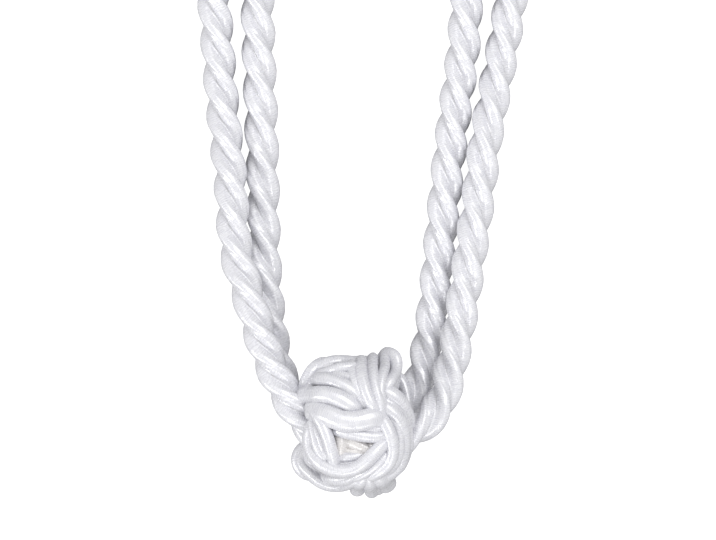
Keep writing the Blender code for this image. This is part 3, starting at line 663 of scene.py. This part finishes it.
def wound_thread_group():
    group = bpy.data.node_groups.new("wound thread", "ShaderNodeTree")
    group.interface.new_socket("Turns", in_out="INPUT", socket_type="NodeSocketVector")
    group.interface.new_socket("Tint", in_out="INPUT", socket_type="NodeSocketColor")
    # the next colour is painted shade: a darker colour for the hollows between turns, where shade
    # falls
    group.interface.new_socket("Painted Shade", in_out="INPUT", socket_type="NodeSocketColor")
    group.interface.new_socket("Yarns", in_out="INPUT", socket_type="NodeSocketFloat")
    group.interface.new_socket("Color", in_out="OUTPUT", socket_type="NodeSocketColor")
    group.interface.new_socket("Roughness", in_out="OUTPUT", socket_type="NodeSocketFloat")
    group.interface.new_socket("Height", in_out="OUTPUT", socket_type="NodeSocketFloat")
    entry = add_node(group, "NodeGroupInput", (-900, 0))
    leave = add_node(group, "NodeGroupOutput", (700, 0))

    drift = add_node(group, "ShaderNodeTexNoise", (-700, -250), noise_dimensions="2D")
    drift.inputs["Scale"].default_value = 0.35
    drift.inputs["Detail"].default_value = 1.0
    group.links.new(entry.outputs["Turns"], drift.inputs["Vector"])
    split = add_node(group, "ShaderNodeSeparateXYZ", (-700, 0))
    group.links.new(entry.outputs["Turns"], split.inputs[0])
    uneven = math_node(group, "ADD", (-500, 0), split.outputs["X"], drift.outputs["Fac"])
    half_turns = math_node(group, "MULTIPLY", (-340, 0), uneven, math.pi)
    wave = math_node(group, "SINE", (-180, 0), half_turns)
    fade = add_node(group, "ShaderNodeMapRange", (-340, 250))
    fade.inputs["From Min"].default_value = 0.35
    fade.inputs["From Max"].default_value = 0.65
    fade.inputs["To Min"].default_value = 0.25
    group.links.new(drift.outputs["Fac"], fade.inputs["Value"])
    turn = math_node(group, "ABSOLUTE", (-20, 0), wave)
    ridge = math_node(group, "MULTIPLY", (0, 150), turn, fade.outputs["Result"])

    stretch = add_node(group, "ShaderNodeMapping", (-500, -450))
    stretch.inputs["Scale"].default_value = (1.3, 0.8, 1.0)
    group.links.new(entry.outputs["Turns"], stretch.inputs["Vector"])
    filament = add_node(group, "ShaderNodeTexNoise", (-300, -450), noise_dimensions="2D")
    filament.inputs["Scale"].default_value = 1.0
    filament.inputs["Detail"].default_value = 3.0
    group.links.new(stretch.outputs[0], filament.inputs["Vector"])

    streak = math_node(group, "MULTIPLY", (-20, -450), filament.outputs["Fac"],
                       STREAK_HEIGHT)
    lengthwise = add_node(group, "ShaderNodeMapping", (-500, -750))
    lengthwise.inputs["Scale"].default_value = (0.06, 1.3, 1.0)
    group.links.new(entry.outputs["Turns"], lengthwise.inputs["Vector"])
    yarn = add_node(group, "ShaderNodeTexNoise", (-300, -750), noise_dimensions="2D")
    yarn.inputs["Scale"].default_value = 1.0
    yarn.inputs["Detail"].default_value = 2.0
    group.links.new(lengthwise.outputs[0], yarn.inputs["Vector"])
    bundle = math_node(group, "MULTIPLY", (-20, -750), yarn.outputs["Fac"], entry.outputs["Yarns"])
    fine = math_node(group, "ADD", (160, -200), ridge, streak)
    height = math_node(group, "ADD", (330, -300), fine, bundle)
    group.links.new(height, leave.inputs["Height"])

    # painted shade: the hollows between turns take the darker colour, standing in for their shade
    painted_shade = math_node(group, "SUBTRACT", (160, 150), fade.outputs["Result"], ridge)
    tint = add_node(group, "ShaderNodeMix", (400, 150), data_type="RGBA")
    group.links.new(painted_shade, tint.inputs["Factor"])
    group.links.new(entry.outputs["Tint"], tint.inputs["A"])
    group.links.new(entry.outputs["Painted Shade"], tint.inputs["B"])
    group.links.new(tint.outputs["Result"], leave.inputs["Color"])
    spread = math_node(group, "MULTIPLY", (160, 400), filament.outputs["Fac"], ROUGHNESS_SPREAD)
    roughness = math_node(group, "ADD", (400, 400), spread, SMOOTHEST)
    group.links.new(roughness, leave.inputs["Roughness"])
    return group


thread_group = wound_thread_group()
print("group outputs:", [item.name for item in thread_group.interface.items_tree])

# %% [markdown]
# Each material turns the skin's millimetres into turns of its own thread, sets how deep the
# windings look and gives the darker colour that is painted into the hollows between turns as
# painted shade. The gloss stays on the shader's own sockets: it is anisotropic, and its
# direction comes from the `thread` map, so a highlight runs along the strand. The cords that
# show deep in the opening of the knot are a trace warmer than the rest.

# %% Satin materials
SATIN_WHITE = (0.74, 0.74, 0.77, 1.0)
# painted shade for the hollows between turns of the rope's thread
SATIN_PAINTED_SHADE = (0.58, 0.58, 0.65, 1.0)
CORD_WHITE = (0.7, 0.7, 0.73, 1.0)
# painted shade for the hollows between turns of the cord's thread
CORD_PAINTED_SHADE = (0.53, 0.53, 0.6, 1.0)
ROPE_SLANT = math.radians(8.0)
CORE_TINT = (0.75, 0.73, 0.72, 1.0)
# painted shade for the hollows between turns of the core cords' thread
CORE_PAINTED_SHADE = (0.58, 0.545, 0.53, 1.0)


def satin(name, turns_per_mm, slant, depth, yarns, tint, painted_shade):
    """A satin whose thread crosses the strand at a slant, with windings of this depth in mm over
    yarns that are yarns times as high. The hollows between turns get painted shade in the darker
    colour."""
    material = bpy.data.materials.new(name)
    material.use_nodes = True
    tree = material.node_tree
    shader = tree.nodes["Principled BSDF"]
    shader.inputs["IOR"].default_value = 1.9
    shader.inputs["Specular IOR Level"].default_value = 1.0
    shader.inputs["Anisotropic"].default_value = 0.9
    way = add_node(tree, "ShaderNodeTangent", (-300, -450), direction_type="UV_MAP")
    way.uv_map = THREAD_MAP
    tree.links.new(way.outputs["Tangent"], shader.inputs["Tangent"])
    coordinates = add_node(tree, "ShaderNodeUVMap", (-1100, 0), uv_map=THREAD_MAP)
    turns = add_node(tree, "ShaderNodeMapping", (-900, 0))
    turns.inputs["Rotation"].default_value = (0.0, 0.0, slant)
    turns.inputs["Scale"].default_value = (turns_per_mm, 1.0, 1.0)
    tree.links.new(coordinates.outputs["UV"], turns.inputs["Vector"])
    thread = add_node(tree, "ShaderNodeGroup", (-650, 0), node_tree=thread_group)
    thread.inputs["Tint"].default_value = tint
    # the darker colour of the painted shade in the hollows
    thread.inputs["Painted Shade"].default_value = painted_shade
    thread.inputs["Yarns"].default_value = yarns
    tree.links.new(turns.outputs[0], thread.inputs["Turns"])
    tree.links.new(thread.outputs["Color"], shader.inputs["Base Color"])
    tree.links.new(thread.outputs["Roughness"], shader.inputs["Roughness"])
    bump = add_node(tree, "ShaderNodeBump", (-300, -250))
    bump.inputs["Distance"].default_value = depth * MM
    tree.links.new(thread.outputs["Height"], bump.inputs["Height"])
    tree.links.new(bump.outputs["Normal"], shader.inputs["Normal"])
    material.diffuse_color = tint
    return material


pace = 1.0 / WINDING
rope_satin = satin("rope satin", pace, ROPE_SLANT, 0.03, 3.0, SATIN_WHITE, SATIN_PAINTED_SHADE)
cord_satin = satin("cord satin", pace, 0.0, 0.035, 2.0, CORD_WHITE, CORD_PAINTED_SHADE)
core_satin = satin("core satin", pace, 0.0, 0.03, 2.0, CORE_TINT, CORE_PAINTED_SHADE)
rope.data.materials.append(rope_satin)
for cord in cords:
    cord.data.materials.append(core_satin if cord.name in CORE_CORDS else cord_satin)
heart.data.materials.append(cord_satin)
print("materials:", [material.name for material in bpy.data.materials])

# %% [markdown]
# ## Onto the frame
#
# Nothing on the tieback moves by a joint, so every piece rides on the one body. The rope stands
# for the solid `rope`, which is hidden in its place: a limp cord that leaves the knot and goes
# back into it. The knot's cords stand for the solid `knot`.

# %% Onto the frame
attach(rope, "root")
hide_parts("rope")
for piece in (*cords, heart):
    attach(piece, "root")
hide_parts("knot")
